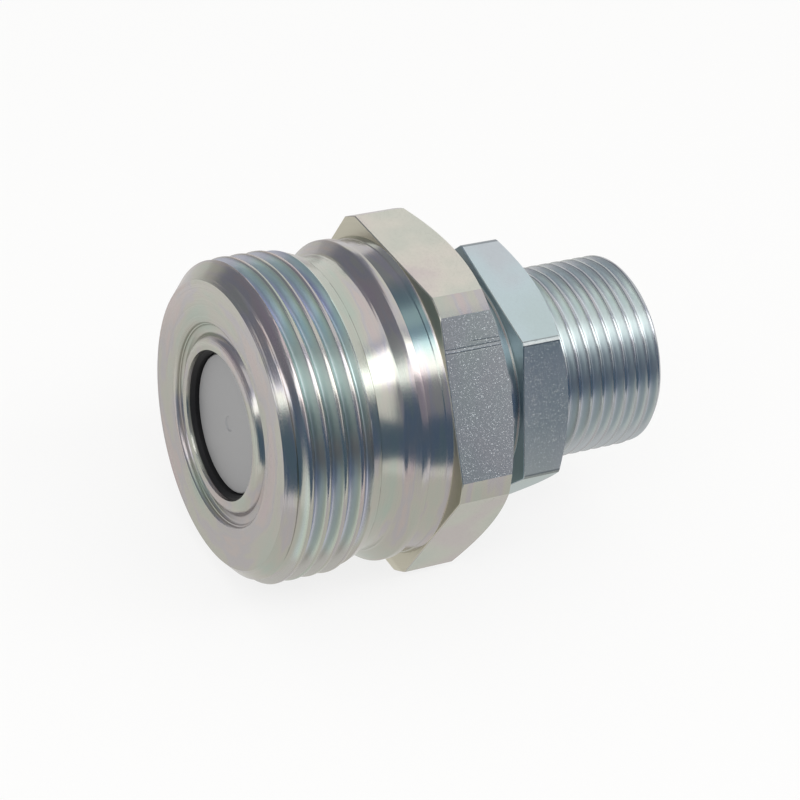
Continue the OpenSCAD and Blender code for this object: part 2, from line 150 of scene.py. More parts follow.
class ValveSizes(bpy.types.PropertyGroup):
    head_r: length("Head radius", "Radius of the flat valve head", 7.8)
    recess: length("Recess", "Depth of the valve head below the front face", 1.3)
    flange_r: length("Flange radius", "Radius of the flange behind the head", 9.3)
    stem_r: length("Stem radius", "Radius of the valve stem", 2.5)
    stem_end: length("Stem end", "Where the stem ends", 26.8)
    head_end: length("Head end", "Where the head ends", 4.3)
    groove_r: length("Groove radius", "Radius of the floor under the ring seal", 6.82)
    flange_start: length("Flange start", "Where the flange starts", 6)
    flange_end: length("Flange end", "Where the flange ends", 8)
    seal_r: length("Seal radius", "Outside radius of the mouth seal", 9.05)
    spring_r: length("Spring radius", "Mean radius of the valve spring", 5.4)
    wire_r: length("Wire radius", "Radius of the spring wire", 0.65)
    spring_start: length("Spring start", "Station of the spring's front end", 8)
    spring_length: length("Spring length", "Length of the spring with the valve closed", 15)
    travel: length("Travel", "How far the valve opens", 5)


class FinishColours(bpy.types.PropertyGroup):
    zinc: colour("Zinc", "Plain colour of the plated steel", (192, 187, 177))
    zinc_green: colour("Green sheen", "Green sheen of the plating", (174, 190, 178))
    zinc_flank: colour("Thread flank", "Plating in the grooves of a thread", (196, 195, 190))
    # Painted reflections: the plating's teal, sea, violet and green, laid in the thread grooves
    # only on the sides that face given directions
    teal_reflection: colour("Teal sheen", "Teal sheen on the thread flanks", (212, 240, 240))
    sea_reflection: colour("Sea sheen", "Dark teal sheen beside the brightest light", (150, 184, 184))
    violet_reflection: colour("Groove violet", "Violet sheen low in the grooves", (204, 208, 232))
    green_reflection: colour("Groove green", "Green sheen high on the thread flanks", (220, 238, 214))
    # Painted shade and reflection on one side of the neck
    neck_teal_shade: colour("Neck teal", "Dark teal sheen on the neck", (112, 144, 148))
    zinc_face: colour("Hexagon face", "Front face of the large hexagon", (208, 204, 186))
    zinc_pink: colour("Pink sheen", "Pink sheen of the plating", (196, 178, 184))
    zinc_lilac: colour("Lilac sheen", "Lilac sheen of the plating", (168, 172, 194))
    zinc_flats: colour("Hexagon", "Plain colour of the large hexagon's flats", (216, 210, 198))
    # Painted shade on the flats that face down
    lower_flat_shade: colour("Lower flat", "Greenish shade of the flats that face down", (130, 158, 140))
    # Painted shade: the flat that faces the camera's side is darker than the others; its scratches
    # are real
    zinc_facing_shade: colour("Dull flat", "Dull grey of the scratched flat", (176, 181, 182))
    adapter: colour("Adapter zinc", "Plain colour of the adapter's turned faces", (178, 182, 184))
    adapter_flats: colour("Adapter hexagon", "Plain colour of the small hexagon", (196, 212, 216))
    # Painted light and shade of the small hexagon's flat that faces the camera's side
    adapter_facing_light: colour("Adapter dull flat", "Dull grey of the small flat", (212, 212, 208))
    # Painted light in the grooves of the port thread, and painted shade on their lower side
    adapter_flank_light: colour("Adapter flank", "Grooves of the port thread", (236, 240, 236))
    adapter_under_shade: colour("Adapter under", "Lower side of the port thread", (196, 202, 206))
    # Painted teal reflection and shade on the small hexagon's front face, between the hexagons
    adapter_face_reflection: colour("Adapter face", "Teal sheen on the small hexagon's front face",
                         (166, 190, 197))
    valve: colour("Valve", "Colour of the matt valve head", (176, 176, 177))
    rubber: colour("Rubber", "Colour of the seals", (16, 16, 17))
    ring: colour("Support ring", "Colour of the plastic support rings", (225, 224, 216))
    guide: colour("Guide", "Colour of the valve guide", (190, 180, 150))
    wire: colour("Wire", "Colour of the spring wire", (150, 150, 152))


class StageSizes(bpy.types.PropertyGroup):
    world_strength: plain("World", "Strength of the world's light", 0.8)
    floor_white: plain("Floor white", "How white the floor is to the camera", 0.80)
    key_power: plain("Key lamp", "Power of the long soft lamp over the camera, in watts", 4.4)
    dark_card: plain("Dark card", "Brightness of the room low behind the camera", 0.16)
    grey_card: plain("Grey card", "Brightness of the room over the camera and of the ceiling", 0.32)
    left_card: plain("Left card", "Brightness of the wall on the left", 0.272)
    back_card: plain("Back card", "Brightness of the wall and floor behind the part", 0.544)
    top_card: plain("Top card", "Brightness of the card over the part", 0.64)
    # The shade card paints the part's shadow on the floor, as the metal sees it
    shade_card: plain("Shade card", "Brightness of the floor right under the part", 0.76)


# Shader maths

class Wire:
    """A shader socket. An expression on wires adds the Math nodes that work it out."""

    def __init__(self, nodes, socket):
        self.nodes, self.socket = nodes, socket

    def __add__(self, other):
        return self.nodes.math("ADD", self, other)

    def __radd__(self, other):
        return self.nodes.math("ADD", other, self)

    def __sub__(self, other):
        return self.nodes.math("SUBTRACT", self, other)

    def __rsub__(self, other):
        return self.nodes.math("SUBTRACT", other, self)

    def __mul__(self, other):
        return self.nodes.math("MULTIPLY", self, other)

    def __rmul__(self, other):
        return self.nodes.math("MULTIPLY", other, self)

    def __truediv__(self, other):
        return self.nodes.math("DIVIDE", self, other)

    def __pow__(self, other):
        return self.nodes.math("POWER", self, other)


class Nodes:
    """The node tree of a material or a world, filled by wires."""

    def __init__(self, owner):
        owner.use_nodes = True
        self.owner, self.tree = owner, owner.node_tree
        self.tree.nodes.clear()

    def add(self, kind, settings=None, values=(), out=0):
        """Adds a node and gives the wire from one of its outputs, or the node for out=None."""
        node = self.tree.nodes.new(kind)
        for name, value in (settings or {}).items():
            setattr(node, name, value)
        pairs = values.items() if isinstance(values, dict) else enumerate(values)
        for key, value in pairs:
            self.put(node.inputs[key], value)
        return node if out is None else Wire(self, node.outputs[out])

    def put(self, socket, value):
        """Links a wire to a socket, or sets the socket's own value."""
        if isinstance(value, Wire):
            self.tree.links.new(value.socket, socket)
        else:
            socket.default_value = value

    def math(self, operation, *values):
        """A Math node on wires or numbers."""
        return self.add("ShaderNodeMath", {"operation": operation}, values)

    def seen(self):
        """1 for what the camera sees, straight, mirrored or through glass, and else 0."""
        path = self.add("ShaderNodeLightPath", out=None)
        camera, glossy, through = [
            Wire(self, path.outputs[ray])
            for ray in ("Is Camera Ray", "Is Glossy Ray", "Is Transmission Ray")]
        return camera + glossy + through


class Board(Nodes):
    """The node tree of one finish, with the piece's own places in millimetres."""

    def __init__(self, name):
        super().__init__(bpy.data.materials.new(name))
        self.place = self.add("ShaderNodeTexCoord", out="Object")
        split = self.add("ShaderNodeSeparateXYZ", None, {"Vector": self.place}, None)
        self.x, self.y, self.z = (Wire(self, s) * (1 / MM) for s in split.outputs)
        self.r = (self.y * self.y + self.z * self.z) ** 0.5

    def mix(self, share, first, second):
        """Colour between two colours, or wires of colour."""
        node = self.add("ShaderNodeMix", {"data_type": "RGBA"}, {0: share}, None)
        for key, value in ((6, first), (7, second)):
            self.put(node.inputs[key], value if isinstance(value, Wire) else (*value, 1))
        return Wire(self, node.outputs[2])

    def noise(self, scale, detail, roughness):
        """Noise over the piece, with its scale in marks a millimetre."""
        return self.add("ShaderNodeTexNoise", None, {
            "Vector": self.place, "Scale": scale / MM, "Detail": detail, "Roughness": roughness})

    def run(self):
        """A length that grows along the axis and, a little slower, along a face."""
        return self.x + self.r * 0.83

    def sheen(self):
        """Noise that changes slowly round the axis and a little faster along the outline."""
        place = self.add("ShaderNodeCombineXYZ", None, {
            "X": self.run() * 0.30, "Y": self.y / self.r, "Z": self.z / self.r})
        return self.add("ShaderNodeTexNoise", None, {
            "Vector": place, "Scale": 1.1, "Detail": 3, "Roughness": 0.55})

    def rings(self, scale, detail):
        """Turning marks: noise that changes only along the axis and the radius."""
        return self.add("ShaderNodeTexNoise", {"noise_dimensions": "1D"}, {
            "W": self.run(), "Scale": scale, "Detail": detail})

    def toward(self, side):
        """1 on the side so many degrees from the top, and -1 on the other side."""
        a = radians(side)
        return (self.z * cos(a) - self.y * sin(a)) / self.r

    def across(self, side):
        """Distance across the flat that faces so many degrees from the top."""
        a = radians(side)
        return self.y * -cos(a) - self.z * sin(a)

    def place_in_groove(self, crest, pitch):
        """0 on a crest of a right-hand thread, and from there to 1 on the next crest."""
        angle = self.math("ARCTAN2", self.y * -1, self.z)
        return self.math("FRACT", (self.x - crest) / pitch - angle / (2 * pi))

    def band(self, wire, low, high, soft):
        """1 where the wire lies between low and high, with soft edges."""
        rise = self.step(wire, low, soft)
        return rise * (1 - self.step(wire, high, soft))

    def step(self, wire, edge, soft):
        """0 below the edge and 1 above it, smooth over the soft width."""
        return self.add("ShaderNodeMapRange", {"interpolation_type": "SMOOTHSTEP"}, {
            "Value": wire, "From Min": edge - soft / 2, "From Max": edge + soft / 2})

    def bump(self, height, distance, strength=1.0):
        """Normal from a height between 0 and 1, with its depth in millimetres."""
        return self.add("ShaderNodeBump", None, {
            "Height": height, "Distance": distance * MM, "Strength": strength})

    def surface(self, **values):
        """Ends the finish in a Principled shader and gives the material."""
        shader = self.add("ShaderNodeBsdfPrincipled", None, {
            name.replace("_", " "): value for name, value in values.items()})
        self.add("ShaderNodeOutputMaterial", None, {"Surface": shader}, None)
        return self.owner


# Finishes

# Painted lights in the turned steel: bands on the sides that get painted reflection and shade
# colours, from the top down:
# degrees from the top, how far the sheen moves them, and where and how soft their edge is
TURNED_LIGHTS = ((-22, 0.08, 0.95, 0.10), (5, 0.08, 0.96, 0.10), (27, 0.04, 0.99, 0.05),
                 (42, 0.08, 0.96, 0.06), (93, 0.08, 0.985, 0.06))
# The side that the lower flanks face, where they get a painted shade
UNDER_SHADE_SIDE = 100
# Depth in which the front face has deep turning marks
FRONT_MARKS = 0.3
# The side that the scratched flat faces, and from there to the flat below it
FLAT_SIDE = 60
NEXT_FLAT = 60
# Scratches along the axis on one flat, each with its place across the flat, slope and start
SCRATCHES = ((-5.38, 0, 19), (-4.96, 0, 19), (-6.67, 0.0324, 22.5))
SCRATCH_HALF = 0.06
SCRATCH_BURR = (-5.25, -5.09)


def zinc_turned(colours, name, z, tones, warm, reach, crest):
    """Turned and zinc plated steel, with a faint sheen that wanders from green to pink.
    The tones are the plain one, the grooves', the painted shade on their lower side and the
    hexagon's face's.
    The reach of the thread is two stations and two radii."""
    b = Board(name)
    body = bpy.context.scene.coupling_body
    start, end, root_r, crest_r = (size / MM for size in reach)
    plain_colour, flank_colour, under_colour, face_colour = tones
    marks = b.rings(9, 4)
    fine = b.rings(30, 2)
    sheen = b.sheen()
    cloud = b.noise(0.16, 3, 0.6)
    speck = b.noise(5, 3, 0.7)
    tone = sheen * 0.8 + cloud * 0.2
    # Bands round the axis that pick where the painted reflections and shade go
    upper, top, neck, middle, low = [
        b.step(b.toward(side) + sheen * wander, edge, soft)
        for side, wander, edge, soft in TURNED_LIGHTS]

    base = b.mix(b.step(tone, 0.60, 0.30) * (0.8 * warm), plain_colour, colours.zinc_green)
    base = b.mix((1 - b.step(tone, 0.40, 0.30)) * (0.8 * warm), base, colours.zinc_pink)
    base = b.mix(b.band(tone, 0.44, 0.50, 0.08) * (0.3 * warm), base, colours.zinc_lilac)
    # Painted light and shade in the threads: the grooves take the flank colour, much lighter on the
    # adapter, with a painted shade on their lower side
    grooves = b.band(b.x, start, end, 0.5) * b.band(b.r, root_r, crest_r, 0.12)
    under = b.step(b.toward(UNDER_SHADE_SIDE), 0.55, 0.7)
    base = b.mix(grooves, base, b.mix(under, flank_colour, under_colour))
    face = z.hex_start / MM
    on_face = b.band(b.x, face - 0.05, face + 0.05, 0.04)
    # On the adapter, the face colour is a painted teal reflection and shade on the small hexagon's
    # front face
    base = b.mix(on_face, base, face_colour)
    # Painted shade and reflection: the neck gets a dark teal on one side. The adapter's nose lies
    # inside the body's neck and takes its tint too
    neck = b.band(b.x, body.collar_end / MM + 0.2, body.hex_start / MM - 0.2, 0.2) * neck
    base = b.mix(neck * (0.85 * warm), base, colours.neck_teal_shade)

    # Painted reflections in the grooves: the plating's colours, laid on the sides that the bands
    # pick
    place = b.place_in_groove(crest / MM, z.pitch / MM)
    reflection_tint = b.mix(b.step(place, 0.60, 0.22), colours.violet_reflection, colours.teal_reflection)
    reflection_tint = b.mix(b.step(place, 0.80, 0.16), reflection_tint, colours.green_reflection)
    inside = grooves * b.band(place, 0.30, 0.88, 0.14)
    for light, share, light_colour in (
            (upper, 0.6, colours.violet_reflection), (top, 1, reflection_tint),
            (middle, 0.5, colours.sea_reflection), (low, 0.6, reflection_tint)):
        base = b.mix(inside * light * (share * warm), base, light_colour)

    base = b.mix(marks * 0.15, base, (0.26, 0.26, 0.27))
    in_face_groove = b.band(b.x, 0.1, body.groove_depth / MM + 0.2, 0.08) * b.band(
        b.r, body.land_r / MM + 0.2, body.groove_r / MM + 0.75, 0.3)
    rough = 0.10 + marks * 0.10 + speck * 0.08 + grooves * 0.12 + on_face * 0.22
    rough = rough + in_face_groove * 0.12
    height = (marks * 0.7 + fine * 0.2 + speck * 0.1) * (
        1 + b.band(b.x, -1, FRONT_MARKS, 0.1) * 4)
    return b.surface(Base_Color=base, Metallic=1.0, Roughness=rough,
                     Normal=b.bump(height, 0.006))


def zinc_flat(colours, name, z, tones, warm, rough, side, scratched):
    """The flats of a hexagon: drawn bar under zinc, with a grain of small bright specks.
    The tones are the plain one and the painted light and shade of the flat that faces the given
    side.
    That flat has scratches along the axis, or else the hexagon's turned corners get a painted
    shade."""
    b = Board(name)
    grain = b.noise(3.2, 4, 0.65)
    speck = b.noise(6.5, 2, 0.5)
    cloud = b.noise(0.10, 2, 0.5)
    bright = b.step(speck, 0.64, 0.06)
    # Painted light and shade: the flat that faces the given side gets a tone of its own
    facing = b.step(b.toward(side), 0.86, 0.02)
    # Painted shade on the flat below the facing one
    under = b.step(b.toward(side + NEXT_FLAT), 0.86, 0.02)
    base = b.mix(facing, *tones)
    base = b.mix(under * 0.3, base, colours.lower_flat_shade)
    pink = b.step(cloud, 0.56, 0.2) * (0.5 * warm) * (1 - facing * 0.7)
    base = b.mix(pink, base, colours.zinc_pink)
    base = b.mix((1 - b.step(cloud, 0.44, 0.2)) * (0.4 * warm), base, colours.zinc_green)
    base = b.mix((1 - grain) * 0.25, base, (0.30, 0.31, 0.32))
    # Painted glints: the specks on the facing flat are made lighter
    base = b.mix(bright * facing * 0.42, base, (0.92, 0.94, 0.95))
    height = grain * 0.25 + bright * 0.75
    if scratched:
        across = b.across(side) + cloud * 0.1
        scratch = 0
        for middle, slope, start in SCRATCHES:
            depth = b.band(
                across - b.x * slope, middle - SCRATCH_HALF, middle + SCRATCH_HALF, 0.10)
            scratch = depth * b.step(b.x, start, 1) + scratch
        scratch = scratch * facing
        burr = b.band(across, *SCRATCH_BURR, 0.10) * facing
        base = b.mix(scratch * 0.45, base, (0.10, 0.11, 0.12))
        base = b.mix(burr * 0.3, base, (0.80, 0.82, 0.84))
        height = height - scratch * 0.7
    else:
        # Painted shade: the turned corners are darkened so they show no highlight
        corner = b.step(b.r, z.corner_r / MM - 0.08, 0.04)
        base = b.mix(corner * 0.65, base, (0.16, 0.18, 0.19))
    return b.surface(Base_Color=base, Metallic=1.0, Roughness=rough + grain * 0.06,
                     Normal=b.bump(height, 0.012))


def valve_steel(colours):
    """Matt valve steel with faint turning marks."""
    b = Board("valve steel")
    marks = b.rings(14, 3)
    grain = b.noise(9, 3, 0.6)
    base = b.mix(grain * 0.3, colours.valve, (0.22, 0.22, 0.22))
    return b.surface(Base_Color=base, Metallic=0.55, Roughness=0.50 + marks * 0.12,
                     Normal=b.bump(marks * 0.6 + grain * 0.4, 0.005))


def drawn_wire(colours):
    """Spring wire, with die lines along it and a thin oil film."""
    b = Board("drawn wire")
    grain = b.noise(4, 3, 0.6)
    base = b.mix(grain * 0.5, colours.wire, (0.16, 0.15, 0.15))
    return b.surface(Base_Color=base, Metallic=1.0, Roughness=0.28 + grain * 0.15,
                     Normal=b.bump(grain, 0.006))


def guide_steel(colours):
    """Machined and yellowish plated steel."""
    b = Board("guide steel")
    marks = b.rings(12, 3)
    cloud = b.noise(0.3, 2, 0.5)
    base = b.mix(cloud * 0.5, colours.guide, colours.zinc_green)
    return b.surface(Base_Color=base, Metallic=1.0, Roughness=0.26 + marks * 0.14,
                     Normal=b.bump(marks, 0.006))


def seal_rubber(colours):
    """Smooth moulded rubber with a thin oily gloss."""
    b = Board("seal rubber")
    grain = b.noise(6, 3, 0.6)
    base = b.mix(grain * 0.6, colours.rubber, (0.022, 0.022, 0.024))
    return b.surface(Base_Color=base, Roughness=0.42 + grain * 0.15, Specular_IOR_Level=0.2,
                     Normal=b.bump(grain, 0.008))


def ring_plastic(colours):
    """Turned white plastic."""
    b = Board("ring plastic")
    marks = b.rings(10, 2)
    grain = b.noise(2, 2, 0.5)
    base = b.mix(grain * 0.4, colours.ring, (0.70, 0.69, 0.64))
    return b.surface(Base_Color=base, Roughness=0.45 + marks * 0.15,
                     Normal=b.bump(marks, 0.006))


FINISH_MAKERS = {
    "valve steel": valve_steel,
    "drawn wire": drawn_wire,
    "guide steel": guide_steel,
    "seal rubber": seal_rubber,
    "ring plastic": ring_plastic,
}


def finish(name):
    """The finish of that name, made when it is first asked for."""
    found = bpy.data.materials.get(name)
    if found:
        return found
    scene = bpy.context.scene
    colours, body, adapter = scene.coupling_colours, scene.coupling_body, scene.coupling_adapter
    if name == "zinc turned":
        tones = colours.zinc, colours.zinc_flank, colours.zinc_flank, colours.zinc_face
        reach = (body.thread_r - body.face_r - FINE, body.thread_length + 0.8 * MM,
                 body.relief_r, body.thread_r - FINE)
        return zinc_turned(colours, name, body, tones, 1.0, reach, body.crest)
    if name == "zinc flats":
        tones = colours.zinc_flats, colours.zinc_facing_shade
        return zinc_flat(colours, name, body, tones, 1.0, 0.15, FLAT_SIDE, True)
    if name == "adapter turned":
        tones = (colours.adapter, colours.adapter_flank_light, colours.adapter_under_shade,
                 colours.adapter_face_reflection)
        reach = (adapter.hex_end + FINE, adapter.length - 0.3 * MM,
                 adapter.thread_r - 1.2 * MM, adapter.thread_r - 0.07 * MM)
        crest = adapter.hex_end + adapter.crest
        return zinc_turned(colours, name, adapter, tones, 0.4, reach, crest)
    if name == "adapter flats":
        tones = colours.adapter_flats, colours.adapter_facing_light
        side = FLAT_SIDE + degrees(adapter.hex_turn)
        return zinc_flat(colours, name, adapter, tones, 0.6, 0.30, side, False)
    return FINISH_MAKERS[name](colours)


# Shapes

def soft_less(a, b, width):
    """The smaller of two values, with a round change from one to the other."""
    h = max(width - abs(a - b), 0) / width
    return min(a, b) - h * h * width / 4


# Form of the threads: half the crest's width, depth, and rounding of crest and root, all as
# shares of the pitch, and the slope of the flanks
CREST_HALF = 0.095
THREAD_DEPTH = 0.57
CREST_ROUND, ROOT_ROUND = 0.10, 0.2
FLANK_SLOPE = tan(radians(60))


def thread_depth(u, pitch):
    """Depth of the thread below its crest at a share u of the pitch from the crest's middle."""
    u = min(u % 1, 1 - u % 1)
    crest = -soft_less(-(u - CREST_HALF) * FLANK_SLOPE, 0, CREST_ROUND)
    return max(soft_less(crest, THREAD_DEPTH, ROOT_ROUND), 0) * pitch


def along(bm, points, closed=False):
    """Edges through points given as (station, radius), above the axis."""
    verts = [bm.verts.new((s, 0, r)) for s, r in points]
    pairs = list(zip(verts, verts[1:] + verts[:1] if closed else verts[1:]))
    edges = [bm.edges.new(pair) for pair in pairs]
    return verts, edges


def spin(bm, geometry, climb=0.0, turns=1.0, columns=COLUMNS):
    """Spins geometry about the axis, climbing along it by so much a turn."""
    whole = climb == 0 and turns == 1
    steps = round(columns * turns)
    return bmesh.ops.spin(
        bm, geom=geometry, cent=(0, 0, 0), axis=(1, 0, 0), angle=2 * pi * turns, steps=steps,
        dvec=(climb / columns, 0, 0), use_merge=whole, use_duplicate=False)


def radius(v):
    """Distance of a vertex from the axis."""
    return hypot(v.co.y, v.co.z)


def set_radius(v, r):
    """Moves a vertex straight out from the axis, to radius r."""
    share = r / radius(v)
    v.co.y *= share
    v.co.z *= share


def thread_sheet(bm, z, crest, start, end, limit, fade_end, marks):
    """A right-hand thread between two stations, inside the radius that limit gives."""
    r, pitch = z.thread_r, z.pitch
    first = start - 1.2 * pitch
    last = end + 0.2 * pitch
    step = pitch / marks
    stations = [first + k * step for k in range(ceil((last - first) / step) + 1)]
    verts, edges = along(bm, [(s, r - thread_depth((s - crest) / pitch, pitch)) for s in stations])
    spin(bm, verts + edges, climb=pitch)
    bmesh.ops.remove_doubles(bm, verts=bm.verts[:], dist=MERGE_GAP)
    for station, front in ((start, True), (end, False)):
        geometry = bm.verts[:] + bm.edges[:] + bm.faces[:]
        bmesh.ops.bisect_plane(
            bm, geom=geometry, dist=HAIR, plane_co=(station, 0, 0), plane_no=(1, 0, 0),
            clear_inner=front, clear_outer=not front)
    for v in bm.verts:
        s = v.co.x
        share = min(max((fade_end - s) / pitch, 0), 1)
        set_radius(v, min(r - (r - radius(v)) * share, limit(s)))


def rim(bm, station, low, high):
    """The open edges at a station, between two radii."""
    found = []
    for e in bm.edges:
        if e.is_boundary and all(
                abs(v.co.x - station) < MERGE_GAP and low <= radius(v) <= high for v in e.verts):
            found.append(e)
    return found


def bridge(bm, first, second):
    """Closes the gap between two open rims."""
    bmesh.ops.bridge_loops(bm, edges=first + second)


def turned(bm, outline, closed):
    """Spins an outline of (station, radius) about the axis, and keeps each vertex's row."""
    row = bm.verts.layers.int.get("row") or bm.verts.layers.int.new("row")
    verts, edges = along(bm, outline, closed)
    for k, v in enumerate(verts):
        v[row] = k + 1
    spin(bm, verts + edges)
    return row


# The rear chamfer of a hexagon: where its circle lies, as a share of the flat radius, and slope
CHAMFER_CIRCLE = 0.98
CHAMFER = tan(radians(30))
# Columns on the turned part of each corner, on either side of its middle
CORNER_COLUMNS = 2


def hexagon_outline(z):
    """Points of a hexagon's outline. The first three rows take the hexagon's shape."""
    circle_r = CHAMFER_CIRCLE * z.flat_r
    return [
        (z.hex_start, z.flat_r), (z.hex_start + FINE, z.flat_r), (z.hex_end - FINE, z.flat_r),
        (z.hex_end, circle_r), (z.hex_end, circle_r - EDGE)]


def hexagon(bm, z, row, first, hex_turn):
    """Shapes three rows of rings, from the first on, into a hexagon with turned corners.
    They are the two of the front edge and the one where the rear chamfer starts."""
    half_flat = atan2((z.corner_r ** 2 - z.flat_r ** 2) ** 0.5, z.flat_r)
    sector = pi / 3
    half_columns = COLUMNS // 12
    inner = half_columns - CORNER_COLUMNS
    for v in bm.verts:
        if not first <= v[row] <= first + 2:
            continue
        angle = (atan2(-v.co.y, v.co.z) - hex_turn) % (2 * pi)
        k = round(angle / (2 * pi) * COLUMNS)
        part, place = divmod(k + half_columns, 2 * half_columns)
        place -= half_columns
        if abs(place) <= inner:
            local = half_flat * place / inner
        else:
            over = (abs(place) - inner) / CORNER_COLUMNS
            local = (half_flat + (sector / 2 - half_flat) * over) * (1 if place > 0 else -1)
        r = min(z.flat_r / cos(local), z.corner_r)
        s = v.co.x
        if v[row] == first:
            s, r = z.hex_start, r - FINE
        elif v[row] == first + 1:
            s = z.hex_start + FINE
        else:
            s = z.hex_end - max(r - CHAMFER_CIRCLE * z.flat_r, 0) * CHAMFER
        world = part * sector + local + hex_turn
        v.co = (s, -r * sin(world), r * cos(world))


def mark_flats(bm, z, start, hex_turn, reach):
    """Gives the second finish to the faces that lie within so much of a hexagon's flats."""
    inside_r = 0.97 * z.flat_r
    for f in bm.faces:
        middle = f.calc_center_median()
        r = hypot(middle.y, middle.z)
        if start < middle.x < z.hex_end and r >= inside_r:
            angle = (atan2(-middle.y, middle.z) - hex_turn + pi / 6) % (pi / 3) - pi / 6
            if abs(r * cos(angle) - z.flat_r) < reach:
                f.material_index = 1


def piece(name, bm, finishes, body, nodes):
    """Makes the object from its mesh, faces out, and sets it into the frame."""
    bmesh.ops.remove_doubles(bm, verts=bm.verts[:], dist=MERGE_GAP)
    bmesh.ops.recalc_face_normals(bm, faces=bm.faces[:])
    mesh = bpy.data.meshes.new(name)
    for f in bm.faces:
        f.smooth = True
    bm.to_mesh(mesh)
    bm.free()
    mesh.set_sharp_from_angle(angle=SMOOTH_ANGLE)
    for layer in [a for a in mesh.attributes if a.name == "row"]:
        mesh.attributes.remove(layer)
    obj = bpy.data.objects.new(name, mesh)
    bpy.context.scene.collection.objects.link(obj)
    for each in finishes:
        mesh.materials.append(finish(each))
    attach(obj, body)
    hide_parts(*nodes)
    return obj


def arc(middle, r, start, end, steps=6):
    """Points of an arc of an outline, as (station, radius), from start to end in degrees.
    0 points to the rear and 90 away from the axis."""
    points = []
    for k in range(steps + 1):
        a = radians(start + (end - start) * k / steps)
        points.append((middle[0] + r * cos(a), middle[1] + r * sin(a)))
    return points


# Hidden places. The steps go from a station to a station at a radius: the body's bores from
# the joint to the lip at the mouth, and the outside of the adapter's nose to its shoulder
LIP = 0.5 * MM
JOINT_START = 20.8 * MM
SHOULDER = 26.7 * MM
NOSE_START, NOSE_R = 16.6 * MM, 11.1 * MM
NOSE_BORE_END, FLOW_START = 33.9 * MM, 36.7 * MM
PIPE_DEPTH, PIPE_CONE = 7 * MM, radians(12)
BODY_BORES = (
    (JOINT_START, 14 * MM, 11.15 * MM), (14 * MM, 6 * MM, 10.3 * MM),
    (6 * MM, 3.4 * MM, 8.4 * MM), (3.4 * MM, LIP, 9.1 * MM))
NOSE_STEPS = (
    (NOSE_START + 2 * EDGE, 17.7 * MM, NOSE_R), (17.7 * MM, 19.8 * MM, 9.77 * MM),
    (19.8 * MM, 21 * MM, NOSE_R), (21.85 * MM, 25.4 * MM, 11.95 * MM),
    (25.8 * MM, SHOULDER, NOSE_R))


def stepped(table):
    """Points of an outline of steps, each at both ends of its length."""
    return [(s, r) for first, last, r in table for s in (first, last)]


class CouplingBodyOperator(bpy.types.Operator):
    """Builds the coupling body, with its thread, relief, collar and large hexagon"""
    bl_idname = "coupling.body"
    bl_label = "Coupling body"

    def execute(self, context):
        z = context.scene.coupling_body
        runout_end = z.thread_length + z.runout_length
        relief_step = 0.25 * MM
        relief_start, relief_end = runout_end + 1.7 * MM, z.collar_start - 1.6 * MM
        fillet_r = 0.6 * MM
        neck_end, neck_end_r = z.hex_start - 0.7 * MM, z.neck_r + z.neck_rise
        land_round, floor_round, groove_round = 1.2 * MM, 0.35 * MM, 0.5 * MM
        land_slope = 114.8
        floor = z.groove_depth - floor_round
        # Middles of the roundings from the land to the front face, which touch each other
        land_middle, inner_middle = z.land_r - 0.9 * MM, z.land_r + 0.507 * MM
        outer_middle, face_middle = z.groove_r - 0.6 * MM, z.groove_r + 0.375 * MM

        def limit(s):
            front = z.face_r + max(s, 0)
            share = max(runout_end - s, 0) / z.runout_length
            return min(front, z.runout_r + (z.thread_r - z.runout_r) * share)

        bm = bmesh.new()
        thread_sheet(bm, z, z.crest, 0, runout_end, limit, fade_end=runout_end, marks=22)
        outline = [
            (runout_end + FINE / 2, z.runout_r - FINE / 2),
            (runout_end + relief_step, z.relief_r + relief_step),
            (relief_start, z.relief_r),
            *arc((relief_end, z.relief_r + fillet_r), fillet_r, 270, 320),
            (z.collar_start - 1.5 * FINE, z.thread_r - FINE),
            (z.collar_start - 0.8 * FINE, z.thread_r - FINE / 3),
            (z.collar_start, z.thread_r), (z.collar_end - FINE / 2, z.thread_r),
            (z.collar_end, z.thread_r - FINE / 2), (z.collar_end + EDGE, z.neck_r),
            (neck_end - FINE / 2, neck_end_r - FINE / 2),
            (neck_end + FINE / 2, neck_end_r + FINE / 2),
            (z.hex_start, z.flat_r - FINE),
        ]
        first = len(outline) + 1
        outline += hexagon_outline(z) + [
            (z.hex_end, z.joint_r + EDGE), (z.hex_end - EDGE, z.joint_r),
            (JOINT_START, z.joint_r), *stepped(BODY_BORES), (LIP, z.mouth_r),
            (EDGE, z.mouth_r), (FINE / 2, z.mouth_r + FINE / 2), (0, z.mouth_r + EDGE),
            *arc((land_round, land_middle), land_round, 180, land_slope),
            *arc((floor, inner_middle), floor_round, land_slope + 180, 360),
            *arc((floor, outer_middle), floor_round, 0, 90),
            *arc((groove_round, face_middle), groove_round, 270, 180),
            (0, z.face_r - 2 * EDGE), (0, z.face_r - FINE),
        ]
        row = turned(bm, outline, False)
        hexagon(bm, z, row, first, 0)
        between = z.face_r - FINE / 2
        bridge(bm, rim(bm, 0, z.face_r - MM, between), rim(bm, 0, between, z.thread_r))
        bridge(bm, rim(bm, runout_end, 0, z.thread_r),
               rim(bm, runout_end + FINE / 2, 0, z.thread_r))
        mark_flats(bm, z, z.hex_start, 0, 0.02 * MM)
        piece("coupling_body_turned", bm, ["zinc turned", "zinc flats"], "housing",
              ["coupling_body"])
        return {"FINISHED"}


